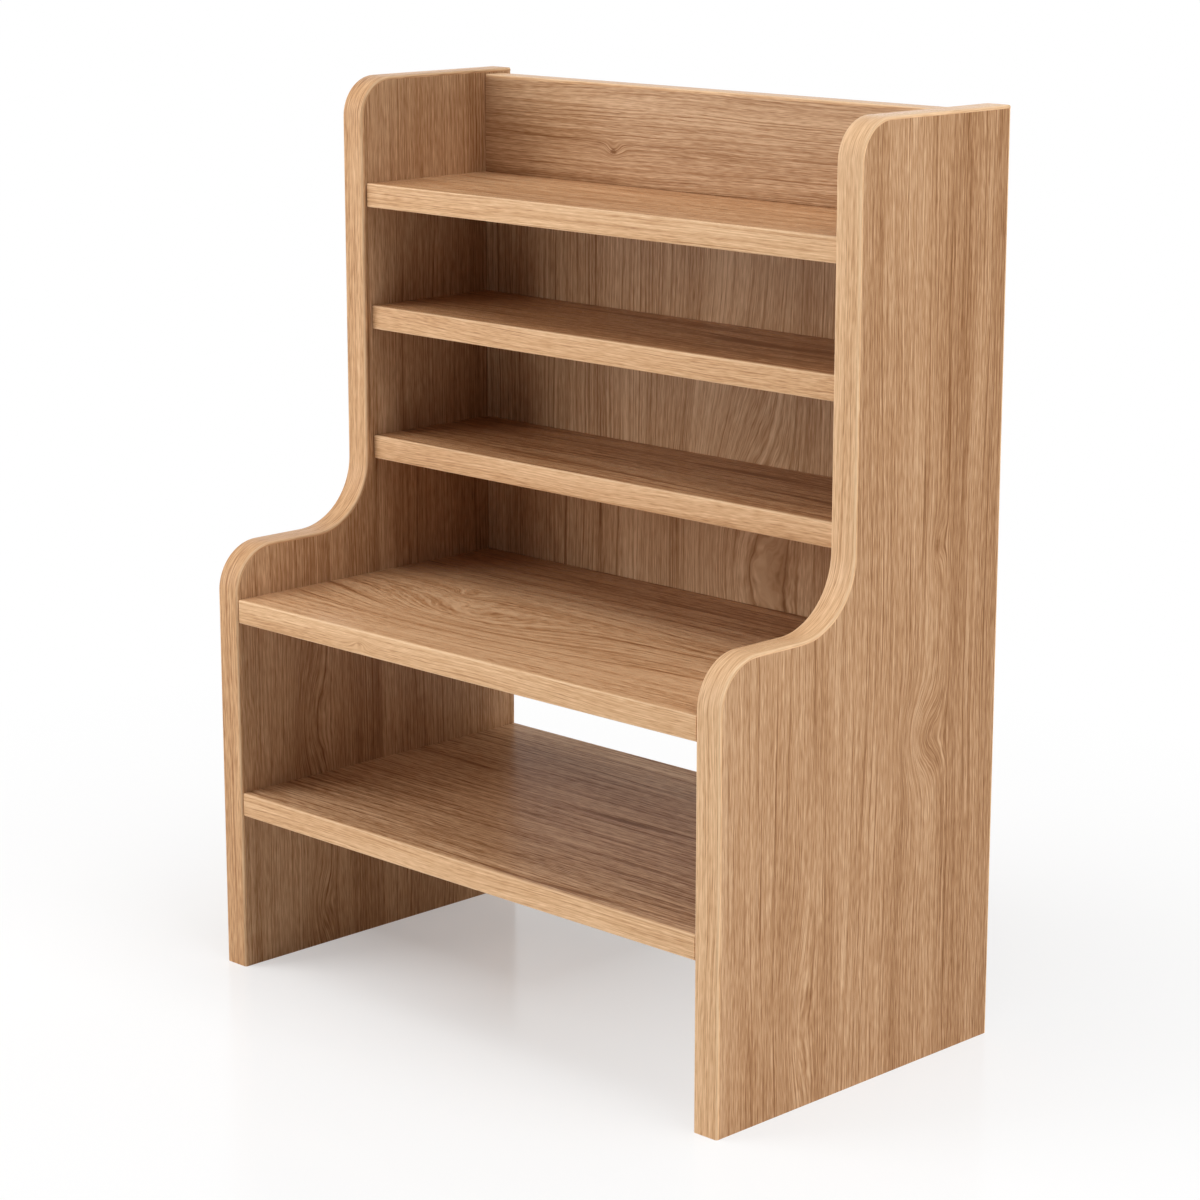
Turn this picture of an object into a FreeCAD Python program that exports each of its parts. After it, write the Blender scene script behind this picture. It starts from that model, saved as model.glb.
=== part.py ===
import FreeCAD, Part
import math
import os
from collections import namedtuple

# Stepped desktop storage rack: five shelves, a back panel and a rail held between two shaped sides.
# Millimetres. X runs across the rack, Y from its front to its back, Z up.
# The origin lies under the middle of the rack, on the surface that it stands on.

# Boards
inner_width = 394.0      # between the two side panels
side_board = 18.0        # thickness of the side panels
shelf_board = 15.0       # thickness of the shelves
back_board = 15.0        # thickness of the back panel and of the rail

# Free heights, from the table upwards
leg_space = 101.0        # under the bottom shelf
open_bay = 111.0         # bottom shelf to wide shelf, open at front and back
lower_bay = 75.0         # wide shelf to lower narrow shelf
middle_bay = 69.0        # lower narrow shelf to upper narrow shelf
upper_bay = 63.0         # upper narrow shelf to top shelf
rail_height = 63.0       # rail above the top shelf
rail_drop = 3.0          # top of the rail below the tops of the sides

# Outline of the side panels
upper_depth = 130.0      # depth of the shallow upper part
ledge_length = 37.0      # straight part of the ledge
ledge_rise = 33.0        # ledge above the top of the wide shelf
nose_radius = 30.0       # convex round at the front of the ledge
cove_radius = 43.0       # concave round at the back of the ledge
crown_radius = 25.0      # convex round at the top front corner

# Places of the boards from front to back
deep_setback = 1.0       # bottom and wide shelf behind the lower front edge of the sides
narrow_setback = 6.0     # narrow shelves behind the upper front edge of the sides
top_setback = 3.0        # top shelf behind the upper front edge of the sides
back_inset = 8.0         # back panel and rail in from the rear edges of the sides

# Edge strips, the rounding of their front arrises and the bevels of the small ones
side_strip = 2.0         # bent round the front, the ledge and the top of a side
front_strip = 2.0        # on the fronts of the shelves and the top of the rail
rear_strip = 1.0         # on the rear edges that are open to view
side_arris = 1.5
front_arris = 1.0
rear_bevel = 0.4
board_bevel = 0.4        # where the face of a board meets its neighbour

# Blind dowels at the ends of the boards
dowel_diameter = 8.0     # over the ribs
dowel_ribs = 8           # pressed ribs round a dowel
dowel_grip = 18.0        # length of a dowel inside its board
dowel_margin = 30.0      # paired dowels, in from the long edges of a board's core
pair_width = 110.0       # boards at least this wide have a pair of dowels at each end
blind_wall = 6.0         # wood left between a bore and the outer face of a side
bore_clearance = 0.1     # glue gap round a dowel
bore_room = 0.8          # free length at the bottom of a bore

V = FreeCAD.Vector

# Sizes that follow from the ones above
overall_width = inner_width + 2 * side_board
lower_depth = upper_depth + nose_radius + ledge_length + cove_radius
front = -lower_depth / 2
rear = lower_depth / 2
upper_front = rear - upper_depth
back_rear = rear - back_inset
back_front = back_rear - back_board

bottom_shelf_z = leg_space
wide_shelf_z = bottom_shelf_z + shelf_board + open_bay
back_panel_z = wide_shelf_z + shelf_board
lower_narrow_z = back_panel_z + lower_bay
upper_narrow_z = lower_narrow_z + shelf_board + middle_bay
top_shelf_z = upper_narrow_z + shelf_board + upper_bay
rail_z = top_shelf_z + shelf_board
overall_height = rail_z + rail_height + rail_drop
ledge_z = back_panel_z + ledge_rise

bore_diameter = dowel_diameter + 2 * bore_clearance
side_bore = side_board - blind_wall
dowel_in_side = side_bore - bore_room


# Arrises

def chosen(solid, wanted):
    """The edges of a solid wherever wanted(midpoint of the edge) is true."""
    return [edge for edge in solid.Edges if wanted(edge.valueAt(sum(edge.ParameterRange) / 2))]


def rounded(solid, radius, wanted):
    """The solid with its chosen edges rounded."""
    return solid.makeFillet(radius, chosen(solid, wanted))


def bevelled(solid, width, wanted):
    """The solid with its chosen edges bevelled."""
    return solid.makeChamfer(width, chosen(solid, wanted))


# A strip glued to a long edge of a board, with the size of its two outer arrises and how they are worked.
Strip = namedtuple("Strip", "suffix thickness arris worked")
front_edge = Strip("_front_strip", front_strip, front_arris, rounded)
top_edge = Strip("_top_strip", front_strip, front_arris, rounded)
rear_edge = Strip("_rear_strip", rear_strip, rear_bevel, bevelled)
bare_edge = Strip("", 0.0, 0.0, None)

# A board between the sides. It is drawn lying flat: length along X about the middle, width along Y from 0 and
# thickness along Z from 0. lead and trail are the strips on its long edges at Y = 0 and Y = width, and place
# lays the board in the rack.
Board = namedtuple("Board", "name width thickness lead trail place")


def shelf(name, y_front, y_rear, z, trail):
    """A shelf from y_front to y_rear with its underside at z."""
    place = FreeCAD.Placement(V(0, y_front, z), FreeCAD.Rotation())
    return Board(name, y_rear - y_front, shelf_board, front_edge, trail, place)


def upright(name, height, z, trail):
    """A board that stands in the plane of the back, with its lower edge at z."""
    place = FreeCAD.Placement(V(0, back_rear, z), FreeCAD.Rotation(V(1, 0, 0), 90))
    return Board(name, height, back_board, bare_edge, trail, place)


deep_front = front + deep_setback
narrow_front = upper_front + narrow_setback
top_front = upper_front + top_setback
boards = [
    shelf("bottom_shelf", deep_front, rear, bottom_shelf_z, rear_edge),
    shelf("wide_shelf", deep_front, back_rear, wide_shelf_z, rear_edge),
    shelf("lower_narrow_shelf", narrow_front, back_front, lower_narrow_z, bare_edge),
    shelf("upper_narrow_shelf", narrow_front, back_front, upper_narrow_z, bare_edge),
    shelf("top_shelf", top_front, back_rear, top_shelf_z, rear_edge),
    upright("back_panel", top_shelf_z - back_panel_z, back_panel_z, bare_edge),
    upright("back_rail", rail_height, rail_z, top_edge),
]


def near(a, b):
    """True where two lengths agree to a thousandth of a millimetre."""
    return abs(a - b) < 1e-3


# Dowel joints

def dowel_seats(board):
    """Points at mid-thickness on both ends of a board, each with the direction into the board."""
    low = board.lead.thickness
    high = board.width - board.trail.thickness
    rows = [(low + high) / 2]
    if board.width >= pair_width:
        rows = [low + dowel_margin, high - dowel_margin]
    seats = []
    for direction in (1, -1):
        for row in rows:
            seats.append((V(-direction * inner_width / 2, row, board.thickness / 2), V(direction, 0, 0)))
    return seats


def dowel(point, inward):
    """A ribbed wood dowel that joins the end of a board, at point, to the side beside it."""
    radius = dowel_diameter / 2
    start = point - inward * dowel_in_side
    corners = []
    for rib in range(dowel_ribs + 1):
        angle = 2 * math.pi * rib / dowel_ribs
        corners.append(start + V(0, radius * math.cos(angle), radius * math.sin(angle)))
    section = Part.Face(Part.makePolygon(corners))
    return section.extrude(inward * (dowel_in_side + dowel_grip))


def bore(point, direction, depth):
    """The hole for a dowel, from point along direction."""
    return Part.makeCylinder(bore_diameter / 2, depth, point, direction)


# Boards between the sides

def board_core(board):
    """A board without its strips, bevelled at its bare edges and bored at both ends for its dowels."""
    low = board.lead.thickness
    high = board.width - board.trail.thickness
    blank = Part.makeBox(inner_width, high - low, board.thickness, V(-inner_width / 2, low, 0))

    def is_bare(p):
        """True on the edges of the two faces, apart from those with a strip beside them."""
        on_face = near(p.z, 0) or near(p.z, board.thickness)
        bare_lead = near(p.y, low) and not board.lead.thickness
        bare_trail = near(p.y, high) and not board.trail.thickness
        return on_face and (near(abs(p.x), inner_width / 2) or bare_lead or bare_trail)

    core = bevelled(blank, board_bevel, is_bare)
    return core.cut([bore(point, inward, dowel_grip + bore_room) for point, inward in dowel_seats(board)])


def board_strip(board, strip, y, y_open):
    """The strip of a board that starts at y, with its open arrises at y_open."""
    blank = Part.makeBox(inner_width, strip.thickness, board.thickness, V(-inner_width / 2, y, 0))
    return strip.worked(blank, strip.arris, lambda p: near(p.y, y_open) and near(p.x, 0))


def board_nodes(board):
    """The core, strips and dowels of one board, by name, laid in the rack."""
    nodes = {board.name: board_core(board)}
    if board.lead.thickness:
        nodes[board.name + board.lead.suffix] = board_strip(board, board.lead, 0, 0)
    if board.trail.thickness:
        y = board.width - board.trail.thickness
        nodes[board.name + board.trail.suffix] = board_strip(board, board.trail, y, board.width)
    nodes[board.name + "_dowels"] = Part.makeCompound([dowel(*seat) for seat in dowel_seats(board)])
    matrix = board.place.toMatrix()
    return {name: shape.transformed(matrix) for name, shape in nodes.items()}


# Side panels

def shaped_edges(inset):
    """The front, ledge and top of a side's outline, drawn at X = 0 and set in by inset."""
    y_low = front + inset
    y_high = upper_front + inset
    z_ledge = ledge_z - inset
    z_top = overall_height - inset
    nose = nose_radius - inset
    cove = cove_radius + inset
    crown = crown_radius - inset
    nose_centre = V(0, y_low + nose, z_ledge - nose)
    cove_centre = V(0, y_high - cove, z_ledge + cove)
    crown_centre = V(0, y_high + crown, z_top - crown)
    outwards = V(0, -math.sqrt(0.5), math.sqrt(0.5))
    arcs = [
        (V(0, y_low, nose_centre.z), nose_centre + outwards * nose, V(0, nose_centre.y, z_ledge)),
        (V(0, cove_centre.y, z_ledge), cove_centre - outwards * cove, V(0, y_high, cove_centre.z)),
        (V(0, y_high, crown_centre.z), crown_centre + outwards * crown, V(0, crown_centre.y, z_top)),
    ]
    edges = []
    last = V(0, y_low, 0)
    for start, middle, end in arcs:
        edges.append(Part.LineSegment(last, start).toShape())
        edges.append(Part.Arc(start, middle, end).toShape())
        last = end
    edges.append(Part.LineSegment(last, V(0, rear, z_top)).toShape())
    return edges


def side_blank(inset, x):
    """A side panel without bores, its shaped edges set in by inset, with its left face at x."""
    top_rear = V(0, rear, overall_height - inset)
    bottom_rear = V(0, rear, 0)
    bottom_front = V(0, front + inset, 0)
    straight = [
        Part.LineSegment(top_rear, bottom_rear).toShape(),
        Part.LineSegment(bottom_rear, bottom_front).toShape(),
    ]
    blank = Part.Face(Part.Wire(shaped_edges(inset) + straight)).extrude(V(side_board, 0, 0))
    blank.translate(V(x, 0, 0))
    return blank


def bent_strip(core, x):
    """The strip round the front, ledge and top of a side whose core starts at x, its outer arrises rounded."""
    outline = Part.Wire(shaped_edges(0))

    def on_arris(p):
        """True on the edges where the outline meets a face of the side."""
        on_face = near(p.x, x) or near(p.x, x + side_board)
        return on_face and outline.distToShape(Part.Vertex(0, p.y, p.z))[0] < 1e-3

    return rounded(side_blank(0, x).cut(core), side_arris, on_arris)


def side_nodes(name, x, inward_x):
    """A side panel with its left face at x and its inner face towards inward_x, with its strips, by name."""
    core = side_blank(side_strip, x)
    rear_height = overall_height - side_strip
    rear_blank = Part.makeBox(side_board, rear_strip, rear_height, V(x, rear - rear_strip, 0))
    bores = []
    for board in boards:
        for point, inward in dowel_seats(board):
            if inward.x == inward_x:
                bores.append(bore(board.place.multVec(point), -inward, side_bore))
    return {
        name + "_panel": core.cut([rear_blank] + bores),
        name + "_edge_strip": bent_strip(core, x),
        name + "_rear_strip": bevelled(rear_blank, rear_bevel,
                                       lambda p: near(p.y, rear) and near(p.z, rear_height / 2)),
    }


def rack():
    """All pieces of the rack, by name."""
    nodes = side_nodes("left_side", -overall_width / 2, 1)
    nodes.update(side_nodes("right_side", inner_width / 2, -1))
    for board in boards:
        nodes.update(board_nodes(board))
    return nodes


os.makedirs("parts", exist_ok=True)
for node, shape in rack().items():
    shape.exportStep("parts/" + node + ".step")
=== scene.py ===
"""Finishes and studio for a stepped desktop rack of oak-veneered boards with bent and straight strips."""

import logging
import math
from dataclasses import dataclass, field, replace
from enum import Enum

import bmesh
import bpy
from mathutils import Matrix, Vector


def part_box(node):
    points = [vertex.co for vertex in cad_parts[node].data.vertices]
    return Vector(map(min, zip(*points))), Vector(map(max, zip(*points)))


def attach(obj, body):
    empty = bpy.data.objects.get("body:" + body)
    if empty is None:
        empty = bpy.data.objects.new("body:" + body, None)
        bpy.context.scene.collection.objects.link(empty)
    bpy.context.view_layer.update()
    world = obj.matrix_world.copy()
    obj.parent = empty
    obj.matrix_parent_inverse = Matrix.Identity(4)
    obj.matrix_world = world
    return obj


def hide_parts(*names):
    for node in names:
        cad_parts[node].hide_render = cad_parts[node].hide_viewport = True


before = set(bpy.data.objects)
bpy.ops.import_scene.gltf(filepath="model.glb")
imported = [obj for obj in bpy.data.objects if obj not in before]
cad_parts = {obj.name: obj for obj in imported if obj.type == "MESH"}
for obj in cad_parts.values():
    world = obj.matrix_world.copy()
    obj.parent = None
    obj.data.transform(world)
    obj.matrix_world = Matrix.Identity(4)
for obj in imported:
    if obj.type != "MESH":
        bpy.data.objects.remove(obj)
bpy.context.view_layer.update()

log = logging.getLogger("rack")

Socket = bpy.types.NodeSocket
Feed = bpy.types.NodeSocket | float | str | tuple[float, ...] | Vector | bpy.types.Material
Colour = tuple[float, float, float, float]
Pair = tuple[float, float]
Triple = tuple[float, float, float]

BODY = "root"
WHITE: Colour = (1.0, 1.0, 1.0, 1.0)


def srgb(red: int, green: int, blue: int) -> Colour:
    """Turn a colour as a screen shows it, 0 to 255, into the linear one that shaders take.

    Args:
        red: Red as shown.
        green: Green as shown.
        blue: Blue as shown.

    Returns:
        The linear colour with full alpha.
    """
    def linear(shown: int) -> float:
        """One channel of the colour, by the curve of the screen standard."""
        share = shown / 255
        return share / 12.92 if share <= 0.04045 else ((share + 0.055) / 1.055) ** 2.4

    return linear(red), linear(green), linear(blue), 1.0


# Node trees

class Wiring:
    """Adds nodes to one tree and links them."""

    def __init__(self, tree: bpy.types.NodeTree) -> None:
        """Keep the tree that the nodes go into."""
        self.tree = tree

    def add(self, kind: str, feeds: dict[str | int, Feed] | None = None,
            **settings: object) -> bpy.types.Node:
        """Add a node, set its properties and feed its inputs.

        Args:
            kind: Type of the node.
            feeds: Sockets to link or plain values to set, by the name or number of the input.
            settings: Properties of the node.

        Returns:
            The new node.
        """
        node = self.tree.nodes.new(kind)
        for label, value in settings.items():
            setattr(node, label, value)
        for label, value in (feeds or {}).items():
            self.feed(node.inputs[label], value)
        return node

    def feed(self, socket: Socket, value: Feed) -> None:
        """Link an input to a socket, or set it to a plain value.

        Args:
            socket: The input.
            value: The socket or the plain value that goes into it.
        """
        if isinstance(value, bpy.types.NodeSocket):
            self.tree.links.new(value, socket)
        else:
            socket.default_value = value

    def math(self, operation: str, *values: Feed) -> Socket:
        """Work out a number from others."""
        return self.add("ShaderNodeMath", dict(enumerate(values)), operation=operation).outputs[0]

    def vector(self, operation: str, *values: Feed) -> Socket:
        """Work out a vector from others."""
        node = self.add("ShaderNodeVectorMath", dict(enumerate(values)), operation=operation)
        return node.outputs["Vector"]

    def split(self, vector: Socket) -> tuple[Socket, Socket, Socket]:
        """Take a vector apart."""
        outputs = self.add("ShaderNodeSeparateXYZ", {0: vector}).outputs
        return outputs[0], outputs[1], outputs[2]

    def join(self, x: Feed, y: Feed, z: Feed) -> Socket:
        """Put a vector together."""
        return self.add("ShaderNodeCombineXYZ", {0: x, 1: y, 2: z}).outputs[0]

    def stretch(self, value: Feed, low: Feed, high: Feed,
                to_low: Feed = 0.0, to_high: Feed = 1.0) -> Socket:
        """Map a value smoothly from one range to another, and hold it inside.

        Args:
            value: The value to map.
            low: Value that becomes to_low.
            high: Value that becomes to_high.
            to_low: Result at low.
            to_high: Result at high.

        Returns:
            The mapped value.
        """
        feeds = {0: value, 1: low, 2: high, 3: to_low, 4: to_high}
        return self.add("ShaderNodeMapRange", feeds, interpolation_type="SMOOTHSTEP").outputs[0]

    def noise(self, vector: Socket, detail: float = 0.0) -> bpy.types.Node:
        """Add a noise whose scale is that of its vector."""
        feeds = {"Vector": vector, "Scale": 1.0, "Detail": detail, "Roughness": 0.5}
        return self.add("ShaderNodeTexNoise", feeds, noise_dimensions="3D")

    def centred_noise(self, vector: Socket, detail: float = 0.0) -> Socket:
        """Add a noise whose colour is a vector round nought."""
        return self.vector("SUBTRACT", self.noise(vector, detail).outputs["Color"], (0.5, 0.5, 0.5))


class NodeGroup(Wiring):
    """A node group with named sockets, open for its nodes to be added."""

    def __init__(self, name: str, kind: str, inputs: dict[str, str], outputs: dict[str, str]) -> None:
        """Make the group and its two end nodes.

        Args:
            name: Name of the group.
            kind: Type of the node tree.
            inputs: Socket types of the inputs, by name.
            outputs: Socket types of the outputs, by name.
        """
        super().__init__(bpy.data.node_groups.new(name, kind))
        for way, sockets in (("INPUT", inputs), ("OUTPUT", outputs)):
            for label, socket in sockets.items():
                self.tree.interface.new_socket(label, in_out=way, socket_type=socket)
        self.inputs = self.tree.nodes.new("NodeGroupInput").outputs
        self.outputs = self.tree.nodes.new("NodeGroupOutput").inputs


VALUE = "NodeSocketFloat"
VECTOR = "NodeSocketVector"
COLOUR = "NodeSocketColor"
GEOMETRY = "NodeSocketGeometry"


# Shared effects, whose Grain is metres along the grain, across the face and into the wood

class KnotSwell:
    """Bows the lines of the wood out at a knot, and closes them round it where the swell is strong."""

    SWAY_GRAINS: Triple = (70.0, 110.0, 110.0)
    SWAY_ALONG = 0.005
    SWAY_ACROSS = 0.0018
    MOTTLE_GRAINS: Triple = (700.0, 900.0, 900.0)
    MOTTLE = 0.5
    RIM: Pair = (0.75, 0.25)

    def __init__(self) -> None:
        """Build the group, whose Knot is 1 in the heart of the knot and 0 outside it."""
        group = NodeGroup(
            "knot_swell", "ShaderNodeTree",
            {"Grain": VECTOR, "Along": VALUE, "Across": VALUE, "Radius": VALUE, "Length": VALUE,
             "Swell": VALUE},
            {"Grain": VECTOR, "Knot": VALUE},
        )
        self.tree = group.tree
        grain = group.inputs["Grain"]
        radius = group.inputs["Radius"]
        x, y, z = group.split(grain)
        sway = group.centred_noise(group.vector("MULTIPLY", grain, self.SWAY_GRAINS), 1.0)
        sway_along, sway_across, _ = group.split(sway)
        run = group.math("MULTIPLY_ADD", sway_along, self.SWAY_ALONG, x)
        run = group.math("SUBTRACT", run, group.inputs["Along"])
        run = group.math("DIVIDE", run, group.math("MULTIPLY", radius, group.inputs["Length"]))
        off = group.math("MULTIPLY_ADD", sway_across, self.SWAY_ACROSS, y)
        off = group.math("SUBTRACT", off, group.inputs["Across"])
        off = group.math("DIVIDE", off, radius)
        square = group.math("MULTIPLY_ADD", run, run, group.math("MULTIPLY", off, off))
        hill = group.math("POWER", math.e, group.math("MULTIPLY", square, -1.0))
        rise = group.math("MULTIPLY", group.inputs["Swell"], radius)
        pushed = group.math("MULTIPLY_ADD", hill, rise, y)
        group.feed(group.outputs["Grain"], group.join(x, pushed, z))
        mottle = group.noise(group.vector("MULTIPLY", grain, self.MOTTLE_GRAINS), 2.0).outputs["Fac"]
        ragged = group.math("MULTIPLY_ADD", mottle, self.MOTTLE, group.math("SQRT", square))
        group.feed(group.outputs["Knot"], group.stretch(ragged, *self.RIM))


class OakFigure:
    """Draws oak veneer: leaves side by side, year rings cut by the face, fibres and open pores.

    Grains are counts to the metre, rates are counts to the ring, and shares say how much each kind of
    mark adds to the tone. What varies by chance runs from its least value up by its spread.
    """

    LEAF_STRAY = 0.5
    NOISE_STEPS: Triple = (7.0, 1.7, 3.1)
    WANDER_GRAINS: Triple = (3.6, 11.0, 11.0)
    RIPPLE_GRAINS: Triple = (22.0, 90.0, 90.0)
    RIPPLE_REACH: Triple = (0.0, 0.0014, 0.0)
    PITH_LEAST = 0.6
    PITH_SPREAD = 0.8
    LEAST_SLOPE = 0.25
    GROWTH_CHANGE = 2.0
    UNEVEN_RATE = 0.6
    UNEVEN_REACH = 2.4
    FADE_GRAINS = 9.0
    FADE_RANGE: Pair = (0.3, 0.65)
    FADED = 0.30
    LINE_LEAST = 0.30
    LINE_SPREAD = 0.70
    RING_SALT = 1.0
    RING_WIDTH = 0.42
    HAIRS_PER_RING = 2.1
    HAIR_SALT = 2.0
    HAIR_WIDTH = 0.50
    HAIR_SHARE = 0.60
    LINE_LEVEL = 0.20
    BAND_RATE = 0.17
    BAND_SHARE = 0.80
    FIBRE_GRAINS: Pair = (9.0, 1150.0)
    FIBRE_SHARE = 0.90
    SPECK_GRAINS: Pair = (110.0, 1600.0)
    SPECK_SHARE = 1.05
    PORE_RANGE: Pair = (0.50, 0.66)
    PORE_SHARE = -0.25
    PORE_RELIEF = -0.7

    def __init__(self) -> None:
        """Build the group, whose Tone runs from dark to light wood and whose Height is the relief."""
        names = ("Leaf Width", "Leaf Offset", "Pith Offset", "Pith Depth", "Wander", "Lines", "Fineness",
                 "Ring Depth", "Contrast", "Leaf Shade", "Lightness", "Drift", "Seed")
        self.group = NodeGroup(
            "oak_figure", "ShaderNodeTree",
            {"Grain": VECTOR} | dict.fromkeys(names, VALUE),
            {"Tone": VALUE, "Height": VALUE},
        )
        self.tree = self.group.tree
        self.seed = self.group.inputs["Seed"]
        self.x, self.y, self.z = self.group.split(self.group.inputs["Grain"])
        self.cut_leaves()
        self.bend_rings()
        self.draw()

    def cut_leaves(self) -> None:
        """Cut the face into leaves of veneer, each from its own part of the log."""
        group = self.group
        width = group.inputs["Leaf Width"]
        place = group.math("DIVIDE", group.math("SUBTRACT", self.y, group.inputs["Leaf Offset"]), width)
        self.leaf = group.math("FLOOR", place)
        chance = group.add("ShaderNodeTexWhiteNoise", {"Vector": group.join(self.leaf, self.seed, 0.5)},
                           noise_dimensions="3D")
        stray, self.pith_chance, self.log_chance = group.split(chance.outputs["Color"])
        local = group.math("SUBTRACT", group.math("SUBTRACT", place, self.leaf), 0.5)
        local = group.math("MULTIPLY", local, width)
        local = group.math("MULTIPLY_ADD", group.math("SUBTRACT", stray, 0.5),
                           group.math("MULTIPLY", width, self.LEAF_STRAY), local)
        log_step, seed_step, leaf_step = self.NOISE_STEPS
        self.shift = group.join(group.math("MULTIPLY_ADD", self.log_chance, log_step, self.seed),
                                group.math("MULTIPLY", self.seed, seed_step),
                                group.math("MULTIPLY_ADD", self.leaf, leaf_step, self.seed))
        self.grain = group.join(self.x, local, self.z)

    def bend_rings(self) -> None:
        """Work out the distance from the pith, bent by the tree's growth, and the slope of the cut."""
        group = self.group
        reach = group.inputs["Wander"]
        wander = group.vector("MULTIPLY_ADD", self.grain, self.WANDER_GRAINS, self.shift)
        wander = group.centred_noise(wander, 1.0)
        ripple = group.vector("MULTIPLY_ADD", self.grain, self.RIPPLE_GRAINS, self.shift)
        ripple = group.centred_noise(ripple, 1.0)
        bent = group.vector("MULTIPLY_ADD", wander, group.join(0.0, reach, reach), self.grain)
        self.bent = group.vector("MULTIPLY_ADD", ripple, self.RIPPLE_REACH, bent)
        _, across, depth = group.split(self.bent)
        across = group.math("ADD", across, group.inputs["Pith Offset"])
        deep = group.math("MULTIPLY_ADD", self.pith_chance, self.PITH_SPREAD, self.PITH_LEAST)
        depth = group.math("SUBTRACT", depth, group.math("MULTIPLY", group.inputs["Pith Depth"], deep))
        square = group.math("MULTIPLY_ADD", across, across, group.math("MULTIPLY", depth, depth))
        self.radius = group.math("SQRT", square)
        slope = group.math("DIVIDE", group.math("ABSOLUTE", across), self.radius)
        self.slope = group.math("MAXIMUM", slope, self.LEAST_SLOPE)
        self.growth = group.math("MULTIPLY_ADD", self.x, self.GROWTH_CHANGE, self.log_chance)

    def ring_lines(self, count: Socket, width: float, salt: float) -> Socket:
        """Draw thin lines at the rings, unevenly spaced, each with a strength that comes and goes.

        Args:
            count: Rings passed since the pith.
            width: Share of a ring that its line takes where the face cuts it square.
            salt: Number that tells one set of lines from another.

        Returns:
            A value that is 1 on the strongest lines.
        """
        group = self.group
        pace = group.join(group.math("MULTIPLY", count, self.UNEVEN_RATE), self.growth, salt)
        phase = group.math("MULTIPLY_ADD", group.noise(pace).outputs["Fac"], self.UNEVEN_REACH, count)
        year = group.math("FLOOR", phase)
        season = group.math("SUBTRACT", phase, year)
        place = group.join(year, self.leaf, group.math("ADD", self.seed, salt))
        own = group.add("ShaderNodeTexWhiteNoise", {"Vector": place}).outputs["Value"]
        fade = group.join(group.math("MULTIPLY", self.x, self.FADE_GRAINS), year, salt)
        fade = group.stretch(group.noise(fade).outputs["Fac"], *self.FADE_RANGE, self.FADED, 1.0)
        edge = group.math("ABSOLUTE", group.math("MULTIPLY_ADD", season, 2.0, -1.0))
        line = group.stretch(edge, group.math("MULTIPLY_ADD", self.slope, -width, 1.0), 1.0)
        strength = group.math("MULTIPLY_ADD", own, self.LINE_SPREAD, self.LINE_LEAST)
        return group.math("MULTIPLY", line, group.math("MULTIPLY", strength, fade))

    def hair(self, along: float, across: Feed) -> Socket:
        """Draw a noise out along the grain.

        Args:
            along: Grains to the metre along the wood.
            across: Grains to the metre across it.

        Returns:
            The noise.
        """
        scale = self.group.join(along, across, across)
        place = self.group.vector("MULTIPLY_ADD", self.bent, scale, self.shift)
        return self.group.noise(place, 1.0).outputs["Fac"]

    def draw(self) -> None:
        """Add up the lines, fibres, specks and pores."""
        group = self.group
        count = group.math("MULTIPLY", self.radius, group.inputs["Lines"])
        bands = group.join(group.math("MULTIPLY", count, self.BAND_RATE), self.growth, self.leaf)
        bands = group.noise(bands, 2.0).outputs["Fac"]
        rings = self.ring_lines(count, self.RING_WIDTH, self.RING_SALT)
        hairs = self.ring_lines(group.math("MULTIPLY", count, self.HAIRS_PER_RING),
                                self.HAIR_WIDTH, self.HAIR_SALT)
        fibre_along, fibre_across = self.FIBRE_GRAINS
        fibres = self.hair(fibre_along, group.math("MULTIPLY", group.inputs["Fineness"], fibre_across))
        specks = self.hair(*self.SPECK_GRAINS)
        pores = group.math("MULTIPLY", group.stretch(specks, *self.PORE_RANGE),
                           group.math("MAXIMUM", rings, hairs))
        streaks = group.math("MULTIPLY", group.math("SUBTRACT", fibres, 0.5), self.FIBRE_SHARE)
        streaks = group.math("MULTIPLY_ADD", group.math("SUBTRACT", specks, 0.5),
                             self.SPECK_SHARE, streaks)
        streaks = group.math("MULTIPLY_ADD", pores, self.PORE_SHARE, streaks)
        odd = group.math("SUBTRACT", 0.5, group.math("FLOORED_MODULO", self.leaf, 2.0))
        lined = group.math("MULTIPLY_ADD", hairs, self.HAIR_SHARE, rings)
        lined = group.math("SUBTRACT", lined, self.LINE_LEVEL)
        # Painted shade: the tone slopes across the face by the painted shade slope, so negative slopes
        # darken sides and shelves towards the rear.
        tone = group.math("MULTIPLY_ADD", self.y, group.inputs["Drift"], group.inputs["Lightness"])
        tone = group.math("MULTIPLY_ADD", group.math("SUBTRACT", bands, 0.5), self.BAND_SHARE, tone)
        tone = group.math("MULTIPLY_ADD", odd, group.inputs["Leaf Shade"], tone)
        tone = group.math("SUBTRACT", tone, group.math("MULTIPLY", lined, group.inputs["Ring Depth"]))
        tone = group.math("MULTIPLY_ADD", streaks, group.inputs["Contrast"], tone)
        group.feed(group.outputs["Tone"], tone)
        ridges = group.math("SUBTRACT", fibres, rings)
        height = group.math("MULTIPLY_ADD", pores, self.PORE_RELIEF, ridges)
        group.feed(group.outputs["Height"], height)


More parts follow.
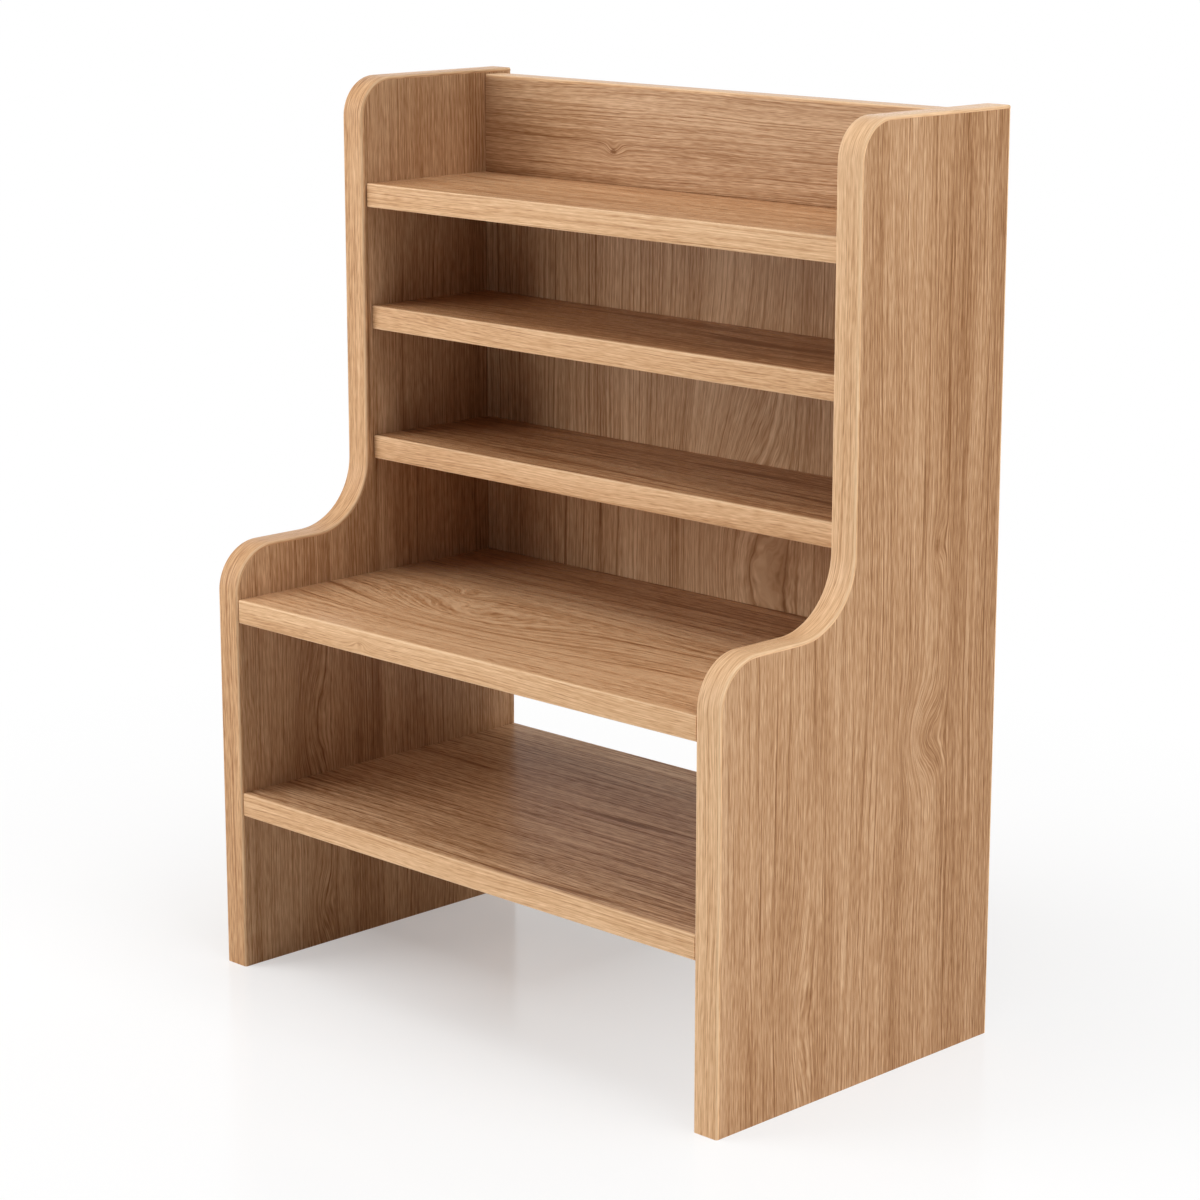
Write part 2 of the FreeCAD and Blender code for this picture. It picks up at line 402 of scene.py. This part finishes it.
class PaintedArrisHighlight:
    """Paints a highlight on wood, in patches, where an arris is rounded over, by lightening its colour
    there.
    """

    PATCH_GRAINS: Triple = (30.0, 200.0, 200.0)
    PATCH_RANGE: Pair = (0.3, 0.6)
    LEAST_WEAR = 0.45

    def __init__(self) -> None:
        """Build the group, whose Arris is 1 along the middle of the rounding and 0 on the flats."""
        group = NodeGroup(
            "painted_arris_highlight", "ShaderNodeTree",
            {"Colour": COLOUR, "Worn": COLOUR, "Arris": VALUE, "Amount": VALUE, "Grain": VECTOR},
            {"Colour": COLOUR},
        )
        self.tree = group.tree
        patches = group.vector("MULTIPLY", group.inputs["Grain"], self.PATCH_GRAINS)
        patches = group.noise(patches, 2.0).outputs["Fac"]
        share = group.stretch(patches, *self.PATCH_RANGE, self.LEAST_WEAR, 1.0)
        share = group.math("MULTIPLY", share, group.inputs["Amount"])
        share = group.math("MULTIPLY", share, group.inputs["Arris"])
        feeds = {0: share, 6: group.inputs["Colour"], 7: group.inputs["Worn"]}
        mix = group.add("ShaderNodeMix", feeds, data_type="RGBA")
        group.feed(group.outputs["Colour"], mix.outputs[2])


@dataclass(frozen=True)
class OakEffects:
    """The shader node groups that the oak finishes share."""

    knot_swell: KnotSwell = field(default_factory=KnotSwell)
    oak_figure: OakFigure = field(default_factory=OakFigure)
    painted_arris_highlight: PaintedArrisHighlight = field(default_factory=PaintedArrisHighlight)


# Finishes

class Lay(Enum):
    """How a board's wood lies: the axes along the grain, across the face and into the board."""

    SHELF = "xyz"
    RAIL = "xzy"
    SIDE = "zyx"
    BACK = "zxy"


@dataclass(frozen=True)
class Knot:
    """A knot or swirl, by its place along the grain and across the face and its half width, in metres.

    Its length is a multiple of its width, and its swell says how far the lines bow out, in half widths.
    """

    along: float
    across: float
    radius: float
    length: float = 1.3
    darkness: float = 0.0
    swell: float = 0.8

    def feeds(self) -> dict[str, float]:
        """The settings of the knot's node group, by the names of its inputs."""
        return {"Along": self.along, "Across": self.across, "Radius": self.radius,
                "Length": self.length, "Swell": self.swell}


@dataclass(frozen=True)
class Tones:
    """The colours of a wood from its dark pores to its light fibres, and of the highlight painted on its
    rounded arrises.
    """

    dark: Colour
    middle: Colour
    light: Colour
    worn: Colour


# Colour of the highlight painted along rounded arrises; the edge and beech tones carry their own as the
# fourth colour.
OAK_HIGHLIGHT = srgb(233, 197, 158)
OAK_FACE = Tones(srgb(136, 92, 57), srgb(181, 139, 101), srgb(221, 184, 147), OAK_HIGHLIGHT)
OAK_SHELF = Tones(srgb(138, 89, 53), srgb(183, 135, 94), srgb(220, 178, 137), OAK_HIGHLIGHT)
OAK_EDGE = Tones(srgb(158, 110, 72), srgb(206, 161, 118), srgb(238, 199, 157), srgb(246, 214, 174))
BEECH = Tones(srgb(168, 118, 82), srgb(205, 160, 122), srgb(224, 186, 150), srgb(236, 205, 172))


@dataclass(frozen=True)
class Figure:
    """How the veneer was cut: its leaves, where the pith lies, its lines to the metre and its tone, with
    a painted shade slope that changes the tone across the face.
    """

    seed: float
    leaf_width: float = 0.125
    leaf_offset: float = 0.0
    pith_offset: float = 0.15
    pith_depth: float = -0.022
    wander: float = 0.010
    lines: float = 400.0
    fineness: float = 1.0
    ring_depth: float = 0.50
    contrast: float = 1.00
    leaf_shade: float = 0.08
    lightness: float = 0.50
    # Tone change per metre across the face: painted shade, darker towards the rear where negative.
    drift: float = 0.0

    def feeds(self) -> dict[str, float]:
        """The settings of the figure's node group, by the names of its inputs."""
        return {name.replace("_", " ").title(): value for name, value in vars(self).items()}


@dataclass(frozen=True)
class Wood:
    """What the oak shader needs of one piece of wood.

    Over the range of tones the roughness runs from its first value, in dark wood, to its second.
    """

    name: str
    tones: Tones
    figure: Figure
    knots: tuple[Knot, ...] = ()
    # Strength of the highlight painted along the strip's rounded arrises; nought for none.
    arris: float = 0.0
    sheen: float = 0.08
    middle_tone: float = 0.48
    tone_range: Pair = (0.1, 0.9)
    roughness: Pair = (0.36, 0.26)
    bump_strength: float = 0.35
    bump_depth: float = 0.00025

    def material(self, effects: OakEffects, lay: Lay | None) -> bpy.types.Material:
        """Make the satin wood.

        Args:
            effects: The shared shader groups.
            lay: How the wood lies in the rack, or nothing for a strip that carries its own grain.

        Returns:
            The material.
        """
        material = bpy.data.materials.new(self.name + "_oak")
        material.use_nodes = True
        material.node_tree.nodes.clear()
        wiring = Wiring(material.node_tree)
        grain = self.board_grain(wiring, lay) if lay else self.strip_grain(wiring)
        dark_spots: list[Socket] = []
        for knot in self.knots:
            swell = wiring.add("ShaderNodeGroup", {"Grain": grain} | knot.feeds(),
                               node_tree=effects.knot_swell.tree)
            grain = swell.outputs["Grain"]
            dark_spots.append(swell.outputs["Knot"])
        figure = wiring.add("ShaderNodeGroup", {"Grain": grain} | self.figure.feeds(),
                            node_tree=effects.oak_figure.tree)
        tone = figure.outputs["Tone"]
        for knot, spot in zip(self.knots, dark_spots):
            tone = wiring.math("MULTIPLY_ADD", spot, -knot.darkness, tone)
        colour = self.ramp(wiring, tone)
        # Painted highlight: lighten the colour along the rounded arrises, in patches.
        if self.arris:
            arris = wiring.add("ShaderNodeAttribute", attribute_name="arris").outputs["Fac"]
            colour = wiring.add("ShaderNodeGroup", {
                "Colour": colour, "Worn": self.tones.worn, "Arris": arris, "Amount": self.arris,
                "Grain": grain,
            }, node_tree=effects.painted_arris_highlight.tree).outputs["Colour"]
        bump = wiring.add("ShaderNodeBump", {
            "Strength": self.bump_strength, "Distance": self.bump_depth,
            "Height": figure.outputs["Height"],
        })
        shader = wiring.add("ShaderNodeBsdfPrincipled", {
            "Base Color": colour, "Roughness": wiring.stretch(tone, *self.tone_range, *self.roughness),
            "Normal": bump.outputs[0], "Specular IOR Level": self.sheen,
        })
        wiring.add("ShaderNodeOutputMaterial", {"Surface": shader.outputs[0]})
        return material

    def board_grain(self, wiring: Wiring, lay: Lay) -> Socket:
        """Find the place in a board, turned so that X runs along the grain.

        Args:
            wiring: The material's nodes.
            lay: How the wood lies in the rack.

        Returns:
            The place, in metres.
        """
        place = wiring.split(wiring.add("ShaderNodeTexCoord").outputs["Object"])
        return wiring.join(*(place["xyz".index(axis)] for axis in lay.value))

    def strip_grain(self, wiring: Wiring) -> Socket:
        """Find the place on a strip, along its path and round its section.

        Args:
            wiring: The material's nodes.

        Returns:
            The place, in metres.
        """
        along = wiring.add("ShaderNodeAttribute", attribute_name="along").outputs["Fac"]
        around = wiring.add("ShaderNodeAttribute", attribute_name="around").outputs["Fac"]
        return wiring.join(along, around, 0.0)

    def ramp(self, wiring: Wiring, tone: Socket) -> Socket:
        """Turn a tone into a colour.

        Args:
            wiring: The material's nodes.
            tone: Nought for the darkest wood and 1 for the lightest.

        Returns:
            The colour.
        """
        node = wiring.add("ShaderNodeValToRGB", {"Fac": tone})
        elements = node.color_ramp.elements
        elements[0].position = 0.0
        elements[0].color = self.tones.dark
        elements[1].position = 1.0
        elements[1].color = self.tones.light
        elements.new(self.middle_tone).color = self.tones.middle
        return node.outputs["Color"]


# The sides' painted shade slopes darken them towards the rear.
SIDES = (
    Wood("left_side", OAK_FACE, Figure(1.0, lightness=0.49, drift=-0.8), (
        Knot(0.150, -0.062, 0.0150, 3.0),
        Knot(0.024, -0.056, 0.0100, 2.5),
    )),
    Wood("right_side", OAK_FACE, Figure(2.0, leaf_offset=-0.016, lightness=0.42, drift=-0.9), (
        Knot(0.312, 0.0640, 0.0070, 1.8, darkness=0.30),
        Knot(0.200, 0.0530, 0.0170, 1.4, swell=0.95),
        Knot(0.050, -0.054, 0.0130, 4.5),
    )),
)
SHELF_CUT = Figure(10.0, lines=150.0, fineness=0.42, ring_depth=0.60, contrast=1.7)
SHELVES = (
    Wood("bottom_shelf", OAK_FACE, replace(SHELF_CUT, ring_depth=0.45, lightness=0.52), sheen=0.02),
    # The wide shelf's steep painted shade slope darkens its top towards the rear.
    Wood("wide_shelf", OAK_SHELF, replace(SHELF_CUT, seed=11.0, lightness=0.54, drift=-2.0), (
        Knot(-0.104, -0.007, 0.0080, 1.8, darkness=0.30, swell=1.4),
        Knot(-0.058, -0.055, 0.0320, 3.4, swell=1.05),
    )),
    # The narrow shelves' low lightness is painted shade: they sit in the shaded bays, and the same oak is
    # made darker for them.
    Wood("lower_narrow_shelf", OAK_SHELF, replace(SHELF_CUT, seed=12.0, lightness=0.28)),
    Wood("upper_narrow_shelf", OAK_SHELF, replace(SHELF_CUT, seed=13.0, lightness=0.22)),
    Wood("top_shelf", OAK_SHELF, replace(SHELF_CUT, seed=14.0, lightness=0.46)),
)
BACK_PANEL = Wood("back_panel", OAK_FACE, Figure(20.0, lines=220.0, fineness=0.6, lightness=0.61), (
    Knot(0.262, 0.025, 0.0420, 2.6, swell=1.1),
))
BACK_RAIL = Wood("back_rail", OAK_FACE, Figure(21.0, lightness=0.58), (
    Knot(-0.079, 0.515, 0.0055, 1.5, darkness=0.65, swell=0.9),
))
DOWEL = Wood("dowel", BEECH, Figure(3.0))

STRIP_CUT = Figure(40.0, leaf_width=0.2, leaf_offset=-0.03, wander=0.016, lines=300.0, ring_depth=0.30)
# Strength of the highlight painted along the strips' rounded arrises.
STRIP_HIGHLIGHT = 0.5
STRIP_KNOTS = {"wide_shelf": (Knot(0.114, 0.001, 0.0030, 2.6, darkness=0.35, swell=1.4),)}
# The left side's strip is made darker, painted shade, and the right side's lighter, painted light, on the
# same oak edging.
STRIP_LIGHTNESS = {"left_side": 0.38, "right_side": 0.66, "bottom_shelf": 0.62, "wide_shelf": 0.58}
OTHER_LIGHTNESS = 0.53
SIDE_STREAKS = 1.1
FRONT_STREAKS = 0.9


def edge_wood(board: Wood, streaks: float) -> Wood:
    """Choose the wood of the strips that go with a board, lighter and with lines of their own.

    Args:
        board: The board's wood.
        streaks: Contrast of the strips' fibres.

    Returns:
        The strips' wood.
    """
    figure = replace(STRIP_CUT, seed=board.figure.seed + STRIP_CUT.seed, contrast=streaks,
                     lightness=STRIP_LIGHTNESS.get(board.name, OTHER_LIGHTNESS))
    knots = STRIP_KNOTS.get(board.name, ())
    return Wood(board.name + "_edge", OAK_EDGE, figure, knots, arris=STRIP_HIGHLIGHT)


# Edge strips

@dataclass(frozen=True)
class StripPath:
    """The line that a strip's outer face follows, with the radius of the bend at each corner."""

    corners: tuple[Vector, ...]
    across: Vector
    bends: tuple[float, ...] = (0.0, 0.0)


@dataclass(frozen=True)
class StripSection:
    """A strip's section: its width, its thickness and the rounding of its outer arrises, in metres."""

    width: float
    thickness: float
    arris: float


class StripSweep:
    """Sweeps edge strips along their paths with one geometry node tree."""

    BEND_STEPS = 28
    ARRIS_STEPS = 7
    SMOOTH_ANGLE = math.radians(35)
    MERGE = 1e-6
    ARRIS_MIDDLE = math.sqrt(2) - 1

    def __init__(self) -> None:
        """Build the tree once."""
        self.group = NodeGroup(
            "edge_strip", "GeometryNodeTree",
            {"Path": GEOMETRY, "Across": VECTOR, "Width": VALUE, "Thickness": VALUE, "Arris": VALUE,
             "Bend Steps": "NodeSocketInt", "Arris Steps": "NodeSocketInt",
             "Material": "NodeSocketMaterial"},
            {"Strip": GEOMETRY},
        )
        path = self.bent_path()
        section = self.rounded_section()
        group = self.group
        strip = group.add("GeometryNodeCurveToMesh", {
            "Curve": path, "Profile Curve": section, "Fill Caps": True,
        })
        merged = group.add("GeometryNodeMergeByDistance", {
            "Geometry": strip.outputs[0], "Distance": self.MERGE,
        })
        whole = group.add("GeometryNodeRealizeInstances", {"Geometry": merged.outputs[0]})
        dressed = group.add("GeometryNodeSetMaterial", {
            "Geometry": whole.outputs[0], "Material": group.inputs["Material"],
        })
        group.feed(group.outputs["Strip"], dressed.outputs[0])

    def bent_path(self) -> Socket:
        """Bend the path's corners and store its length along it.

        Returns:
            The path as a curve.
        """
        group = self.group
        line = group.add("GeometryNodeMeshToCurve", {"Mesh": group.inputs["Path"]})
        bend = group.add("GeometryNodeInputNamedAttribute", {"Name": "bend"}, data_type="FLOAT")
        bent = group.add("GeometryNodeFilletCurve", {
            "Curve": line.outputs[0], "Count": group.inputs["Bend Steps"], "Radius": bend.outputs[0],
        }, mode="POLY")
        turned = group.add("GeometryNodeSetCurveNormal", {
            "Curve": bent.outputs[0], "Normal": group.inputs["Across"],
        }, mode="FREE")
        length = group.add("GeometryNodeSplineParameter").outputs["Length"]
        return self.stored(turned.outputs[0], "along", length)

    def rounded_section(self) -> Socket:
        """Round the section's outer corners, and store the arris mask and the way round it.

        Returns:
            The section as a curve.
        """
        group = self.group
        width = group.inputs["Width"]
        thickness = group.inputs["Thickness"]
        radius = group.inputs["Arris"]
        half = group.math("MULTIPLY", thickness, 0.5)
        blank = group.add("GeometryNodeCurvePrimitiveQuadrilateral", {
            "Width": width, "Height": thickness,
        })
        seated = group.add("GeometryNodeTransform", {
            "Geometry": blank.outputs[0], "Translation": group.join(0.0, half, 0.0),
        })
        x, y, _ = group.split(group.add("GeometryNodeInputPosition").outputs[0])
        outer = group.math("LESS_THAN", y, half)
        rounded = group.add("GeometryNodeFilletCurve", {
            "Curve": seated.outputs[0], "Count": group.inputs["Arris Steps"],
            "Radius": group.math("MULTIPLY", outer, radius),
        }, mode="POLY")
        inset = group.math("SUBTRACT", group.math("MULTIPLY", width, 0.5), group.math("ABSOLUTE", x))
        square = group.math("MULTIPLY_ADD", inset, inset, group.math("MULTIPLY", y, y))
        reach = group.math("DIVIDE", group.math("SQRT", square), radius)
        # The arris mask says where the strip materials paint their highlight along the rounding.
        arris = group.stretch(reach, 1.0, self.ARRIS_MIDDLE)
        masked = self.stored(rounded.outputs[0], "arris", arris)
        around = group.math("ADD", x, group.math("MULTIPLY", group.math("SIGN", x), y))
        return self.stored(masked, "around", around)

    def stored(self, geometry: Socket, name: str, value: Socket) -> Socket:
        """Store a value on the points of a geometry.

        Args:
            geometry: The geometry.
            name: Name of the stored value.
            value: The value.

        Returns:
            The geometry with the value.
        """
        feeds = {"Geometry": geometry, "Name": name, "Value": value}
        node = self.group.add("GeometryNodeStoreNamedAttribute", feeds, data_type="FLOAT", domain="POINT")
        return node.outputs[0]

    def sweep(self, node: str, path: StripPath, section: StripSection,
              material: bpy.types.Material) -> bpy.types.Object:
        """Make the strip that stands for a node of the frame.

        Args:
            node: The frame's node.
            path: The line that the strip follows.
            section: The strip's section.
            material: The strip's finish.

        Returns:
            The finished piece, riding on the rack.
        """
        host = bpy.data.meshes.new(node + "_path")
        host.from_pydata(path.corners, [(i, i + 1) for i in range(len(path.corners) - 1)], [])
        host.attributes.new("bend", "FLOAT", "POINT").data.foreach_set("value", path.bends)
        piece = bpy.data.objects.new(node + "_veneer", host)
        bpy.context.scene.collection.objects.link(piece)
        modifier = piece.modifiers.new("edge_strip", "NODES")
        modifier.node_group = self.group.tree
        sizes = {
            "Across": path.across, "Width": section.width, "Thickness": section.thickness,
            "Arris": section.arris, "Bend Steps": self.BEND_STEPS, "Arris Steps": self.ARRIS_STEPS,
            "Material": material,
        }
        for item in self.group.tree.interface.items_tree:
            if item.name in sizes:
                modifier[item.identifier] = sizes[item.name]
        swept = piece.evaluated_get(bpy.context.evaluated_depsgraph_get())
        mesh = bpy.data.meshes.new_from_object(swept)
        piece.modifiers.remove(modifier)
        piece.data = mesh
        self.tidy(mesh)
        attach(piece, BODY)
        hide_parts(node)
        log.info("%s: %d faces", piece.name, len(mesh.polygons))
        return piece

    def tidy(self, mesh: bpy.types.Mesh) -> None:
        """Turn all faces outwards, and shade the bends smooth and the corners sharp.

        Args:
            mesh: The strip's mesh.
        """
        shell = bmesh.new()
        shell.from_mesh(mesh)
        bmesh.ops.recalc_face_normals(shell, faces=shell.faces)
        shell.to_mesh(mesh)
        shell.free()
        mesh.shade_smooth()
        mesh.set_sharp_from_angle(angle=self.SMOOTH_ANGLE)


# Sub-assemblies

def dress(node: str, material: bpy.types.Material) -> None:
    """Give a node of the frame its finish.

    Args:
        node: The frame's node.
        material: The finish.
    """
    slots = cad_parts[node].data.materials
    slots.clear()
    slots.append(material)
    log.info("%s: %s", node, material.name)


X = Vector((1, 0, 0))
Y = Vector((0, 1, 0))
Z = Vector((0, 0, 1))


@dataclass
class SidePanel:
    """A shaped side with the strip bent round its front, ledge and top, and the strip at its rear."""

    name: str
    wood: Wood
    edge: Wood
    effects: OakEffects
    sweep: StripSweep
    ledge_height: float = 0.275
    upper_front: float = -0.010
    nose_radius: float = 0.030
    cove_radius: float = 0.043
    crown_radius: float = 0.025
    strip: float = 0.002
    rear_strip: float = 0.001
    arris: float = 0.0015
    rear_arris: float = 0.0004

    def build(self) -> None:
        """Dress the panel and lay its strips."""
        dress(self.name + "_panel", self.wood.material(self.effects, Lay.SIDE))
        low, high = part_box(self.name + "_edge_strip")
        middle = (low.x + high.x) / 2
        width = high.x - low.x
        corners = (
            Vector((middle, low.y, 0)),
            Vector((middle, low.y, self.ledge_height)),
            Vector((middle, self.upper_front, self.ledge_height)),
            Vector((middle, self.upper_front, high.z)),
            Vector((middle, high.y, high.z)),
        )
        bends = (0.0, self.nose_radius, self.cove_radius, self.crown_radius, 0.0)
        edge = self.edge.material(self.effects, None)
        self.sweep.sweep(self.name + "_edge_strip", StripPath(corners, X, bends),
                         StripSection(width, self.strip, self.arris), edge)
        low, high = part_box(self.name + "_rear_strip")
        rear = (Vector((middle, high.y, low.z)), Vector((middle, high.y, high.z)))
        self.sweep.sweep(self.name + "_rear_strip", StripPath(rear, -X),
                         StripSection(width, self.rear_strip, self.rear_arris), edge)


@dataclass
class Shelf:
    """A shelf with its edge strips and dowels."""

    name: str
    wood: Wood
    edge: Wood
    dowel: bpy.types.Material
    effects: OakEffects
    sweep: StripSweep
    front_arris: float = 0.001
    rear_arris: float = 0.0004
    seam: float = 0.0008

    def build(self) -> None:
        """Dress the shelf and lay its strips."""
        dress(self.name, self.wood.material(self.effects, Lay.SHELF))
        dress(self.name + "_dowels", self.dowel)
        edge = self.edge.material(self.effects, None)
        self.lay_strip(self.name + "_front_strip", edge, front=True)
        if self.name + "_rear_strip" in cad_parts:
            self.lay_strip(self.name + "_rear_strip", edge, front=False)

    def lay_strip(self, node: str, edge: bpy.types.Material, front: bool) -> None:
        """Lay the strip on the front or the rear edge.

        Args:
            node: The frame's node that the strip stands for.
            edge: The strip's finish.
            front: True for the front edge.
        """
        low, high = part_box(node)
        middle = (low.z + high.z) / 2
        y = low.y if front else high.y
        corners = (Vector((low.x + self.seam, y, middle)), Vector((high.x - self.seam, y, middle)))
        arris = self.front_arris if front else self.rear_arris
        self.sweep.sweep(node, StripPath(corners, -Z if front else Z),
                         StripSection(high.z - low.z, high.y - low.y, arris), edge)


@dataclass
class Back:
    """The back panel and the rail above it, with the rail's top strip and their dowels."""

    panel_wood: Wood
    rail_wood: Wood
    edge: Wood
    dowel: bpy.types.Material
    effects: OakEffects
    sweep: StripSweep
    arris: float = 0.001
    seam: float = 0.0008

    def build(self) -> None:
        """Dress both boards and lay the strip on the rail."""
        dress("back_panel", self.panel_wood.material(self.effects, Lay.BACK))
        dress("back_rail", self.rail_wood.material(self.effects, Lay.RAIL))
        dress("back_panel_dowels", self.dowel)
        dress("back_rail_dowels", self.dowel)
        node = "back_rail_top_strip"
        low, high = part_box(node)
        middle = (low.y + high.y) / 2
        corners = (Vector((low.x + self.seam, middle, high.z)),
                   Vector((high.x - self.seam, middle, high.z)))
        self.sweep.sweep(node, StripPath(corners, -Y),
                         StripSection(high.y - low.y, high.z - low.z, self.arris),
                         self.edge.material(self.effects, None))


# Studio

@dataclass(frozen=True)
class Softbox:
    """A square area lamp on a sphere round the rack, by its bearing from +X and height, in degrees."""

    name: str
    bearing: float
    height: float
    watts: float
    distance: float = 2.6
    size: float = 1.7

    def build(self, aim: Vector) -> None:
        """Hang the lamp and turn it to a point.

        Args:
            aim: The point that the lamp looks at.
        """
        lamp = bpy.data.lights.new(self.name, "AREA")
        lamp.shape = "SQUARE"
        lamp.size = self.size
        lamp.energy = self.watts
        turn, rise = math.radians(self.bearing), math.radians(self.height)
        flat = math.cos(rise)
        away = Vector((math.cos(turn) * flat, math.sin(turn) * flat, math.sin(rise)))
        hung = bpy.data.objects.new(self.name, lamp)
        hung.location = aim + away * self.distance
        hung.rotation_euler = (-away).to_track_quat("-Z", "Y").to_euler()
        bpy.context.scene.collection.objects.link(hung)
        log.info("%s: %.1f W", self.name, self.watts)


LAMPS = (
    Softbox("right_softbox", 4.0, 1.0, 26.0, size=0.7),
    Softbox("left_low_softbox", 227.0, 17.0, 38.5),
    Softbox("left_high_softbox", 225.0, 58.0, 18.0),
    Softbox("top_softbox", 0.0, 66.0, 29.0),
    Softbox("rear_softbox", 90.0, 22.0, 10.0),
)


@dataclass
class Studio:
    """The pale floor, the soft light and the camera.

    The camera sees the floor lifted towards white: by floor_lift on the ground that lies darkest, and
    wholly from fade_end metres away. The lift lights nothing else.
    """

    lamps: tuple[Softbox, ...] = LAMPS
    lamp_aim: Vector = field(default_factory=lambda: Vector((0.0, 0.0, 0.28)))
    floor_half: float = 6.0
    floor_colour: Colour = (0.93, 0.93, 0.93, 1.0)
    floor_roughness: float = 0.16
    floor_sheen: float = 0.28
    floor_lift: float = 0.23
    floor_glow: float = 0.08
    dark_floor: tuple[Vector, Vector] = (Vector((-0.20, -0.01, 0.0)), Vector((-0.045, 0.12, 0.0)))
    fade_end: float = 0.64
    fade_power: float = 0.7
    sky_light: float = 0.20
    camera_place: Vector = field(default_factory=lambda: Vector((1.4010, -1.4088, 0.7207)))
    camera_turn: float = math.radians(44.75)
    camera_pitch: float = math.radians(13.20)
    camera_lens: float = 100.4
    sensor: float = 36.0

    def build(self) -> None:
        """Set up everything round the rack."""
        self.lay_floor()
        self.light_world()
        for lamp in self.lamps:
            lamp.build(self.lamp_aim)
        self.set_camera()
        bpy.context.scene.view_settings.view_transform = "Standard"

    def lay_floor(self) -> None:
        """Lay the floor under the rack."""
        mesh = bpy.data.meshes.new("floor")
        half = self.floor_half
        corners = [(-half, -half, 0), (half, -half, 0), (half, half, 0), (-half, half, 0)]
        mesh.from_pydata(corners, [], [(0, 1, 2, 3)])
        floor = bpy.data.objects.new("floor", mesh)
        bpy.context.scene.collection.objects.link(floor)
        mesh.materials.append(self.floor_material())

    def floor_material(self) -> bpy.types.Material:
        """Make a pale satin floor that the camera sees fade to white away from the rack.

        Returns:
            The material.
        """
        material = bpy.data.materials.new("studio_floor")
        material.use_nodes = True
        material.node_tree.nodes.clear()
        wiring = Wiring(material.node_tree)
        camera = wiring.add("ShaderNodeLightPath").outputs["Is Camera Ray"]
        shader = wiring.add("ShaderNodeBsdfPrincipled", {
            "Base Color": self.floor_colour, "Roughness": self.floor_roughness,
            "Specular IOR Level": self.floor_sheen, "Emission Color": WHITE,
            "Emission Strength": wiring.math("MULTIPLY", camera, self.floor_glow),
        })
        white = wiring.add("ShaderNodeEmission", {"Color": WHITE, "Strength": 1.0})
        away = wiring.math("DIVIDE", self.dark_distance(wiring), self.fade_end)
        away = wiring.math("MINIMUM", wiring.math("POWER", away, self.fade_power), 1.0)
        lift = wiring.math("MULTIPLY_ADD", away, 1.0 - self.floor_lift, self.floor_lift)
        seen = wiring.math("MULTIPLY", lift, camera)
        mix = wiring.add("ShaderNodeMixShader", {0: seen, 1: shader.outputs[0], 2: white.outputs[0]})
        wiring.add("ShaderNodeOutputMaterial", {"Surface": mix.outputs[0]})
        return material

    def dark_distance(self, wiring: Wiring) -> Socket:
        """Measure how far the floor is from the ground that lies deepest in the rack's shadow.

        Args:
            wiring: The floor material's nodes.

        Returns:
            The distance in metres, nought on that ground.
        """
        low, high = self.dark_floor
        place = wiring.add("ShaderNodeTexCoord").outputs["Object"]
        place = wiring.vector("ABSOLUTE", wiring.vector("SUBTRACT", place, (low + high) / 2))
        outside = wiring.vector("SUBTRACT", place, (high - low) / 2)
        outside = wiring.vector("MAXIMUM", outside, (0.0, 0.0, 0.0))
        return wiring.add("ShaderNodeVectorMath", {0: outside}, operation="LENGTH").outputs["Value"]

    def light_world(self) -> None:
        """Light the rack from all round, with a white background for the camera and reflections."""
        world = bpy.data.worlds.new("studio")
        bpy.context.scene.world = world
        world.use_nodes = True
        world.node_tree.nodes.clear()
        wiring = Wiring(world.node_tree)
        path = wiring.add("ShaderNodeLightPath").outputs
        seen = wiring.math("MAXIMUM", path["Is Glossy Ray"], path["Is Transmission Ray"])
        seen = wiring.math("MAXIMUM", path["Is Camera Ray"], seen)
        strength = wiring.stretch(seen, 0.0, 1.0, self.sky_light, 1.0)
        sky = wiring.add("ShaderNodeBackground", {"Color": WHITE, "Strength": strength})
        wiring.add("ShaderNodeOutputWorld", {"Surface": sky.outputs[0]})

    def set_camera(self) -> None:
        """Stand the camera where the photograph was taken from."""
        lens = bpy.data.cameras.new("camera")
        lens.sensor_width = self.sensor
        lens.lens = self.camera_lens
        camera = bpy.data.objects.new("camera", lens)
        camera.location = self.camera_place
        flat = math.cos(self.camera_pitch)
        forward = Vector((-math.sin(self.camera_turn) * flat, math.cos(self.camera_turn) * flat,
                          -math.sin(self.camera_pitch)))
        camera.rotation_euler = forward.to_track_quat("-Z", "Y").to_euler()
        bpy.context.scene.collection.objects.link(camera)
        bpy.context.scene.camera = camera


def main() -> None:
    """Dress the rack piece by piece and set up the studio."""
    logging.basicConfig(level=logging.INFO, format="%(name)s %(message)s")
    effects = OakEffects()
    sweep = StripSweep()
    dowel = DOWEL.material(effects, Lay.SHELF)
    for side in SIDES:
        SidePanel(side.name, side, edge_wood(side, SIDE_STREAKS), effects, sweep).build()
    for shelf in SHELVES:
        Shelf(shelf.name, shelf, edge_wood(shelf, FRONT_STREAKS), dowel, effects, sweep).build()
    Back(BACK_PANEL, BACK_RAIL, edge_wood(BACK_RAIL, FRONT_STREAKS), dowel, effects, sweep).build()
    Studio().build()


if __name__ == "__main__":
    main()
